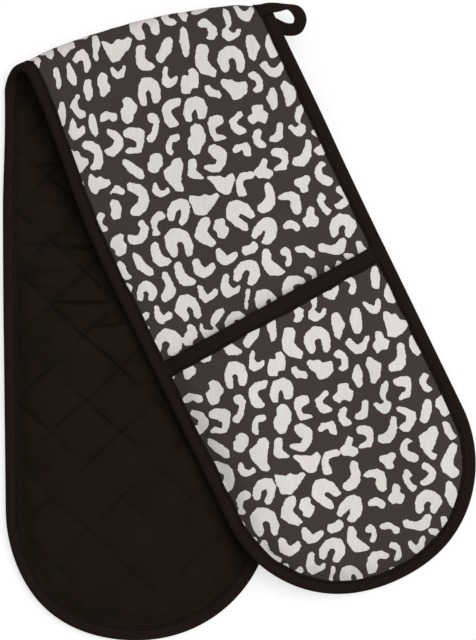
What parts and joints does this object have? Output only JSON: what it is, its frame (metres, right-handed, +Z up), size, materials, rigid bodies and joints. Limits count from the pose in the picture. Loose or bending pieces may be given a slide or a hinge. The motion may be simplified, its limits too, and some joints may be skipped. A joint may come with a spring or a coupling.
{
  "type": "double oven glove",
  "caption": "Long padded cotton strip with a round hand pocket at each end, bound in black tape, folded over with a printed outside, a quilted black lining and a tape loop to hang it by.",
  "frame": {"origin": "on the surface the glove lies on, at the centre of the rear half's round end", "axes": "+Z up, away from the surface; +Y from the rear half's round end towards the fold; +X to the right, towards the front half's round end"},
  "size_m": [0.33, 0.4453, 0.041],
  "materials": {
    "print_cloth": "printed plain-weave cotton, charcoal ground with off-white spots",
    "lining_cloth": "black plain-weave cotton, quilted in diamonds",
    "wadding": "soft off-white felted wadding",
    "binding_tape": "black woven cotton binding, edge stitched"
  },
  "bodies": {
    "rear_half": {"rear_lining": "lining_cloth", "rear_wadding": "wadding", "rear_print": "print_cloth", "rear_edge_binding": "binding_tape"},
    "front_half": {"front_lining": "lining_cloth", "front_wadding": "wadding", "front_print": "print_cloth", "front_edge_binding": "binding_tape"},
    "rear_pocket": {"rear_pocket_lining": "lining_cloth", "rear_pocket_wadding": "wadding", "rear_pocket_print": "print_cloth", "rear_pocket_mouth_binding": "binding_tape"},
    "front_pocket": {"front_pocket_lining": "lining_cloth", "front_pocket_wadding": "wadding", "front_pocket_print": "print_cloth", "front_pocket_mouth_binding": "binding_tape"},
    "hanging_loop": {"hanging_loop": "binding_tape"}
  },
  "joints": [
    {"name": "fold", "type": "hinge", "parent": "rear_half", "child": "front_half", "pos_m": [-0.00058, 0.3381, 0.0129], "axis": [-0.9757, -0.219, 0], "range_deg": [0, 175]},
    {"name": "front_pocket_opening", "type": "hinge", "parent": "front_half", "child": "front_pocket", "pos_m": [0.17958, -0.04439, 0.00568], "axis": [0.9041, 0.4274, 0], "range_deg": [0, 8]},
    {"name": "rear_pocket_opening", "type": "hinge", "parent": "rear_pocket", "child": "rear_half", "pos_m": [0, -0.0827, 0.00288], "axis": [1, 0, 0], "range_deg": [0, 8]},
    {"name": "loop_swing", "type": "hinge", "parent": "front_half", "child": "hanging_loop", "pos_m": [0.10135, 0.33741, 0.0226], "axis": [0.4269, -0.9043, 0], "range_deg": [-90, 90]}
  ]
}
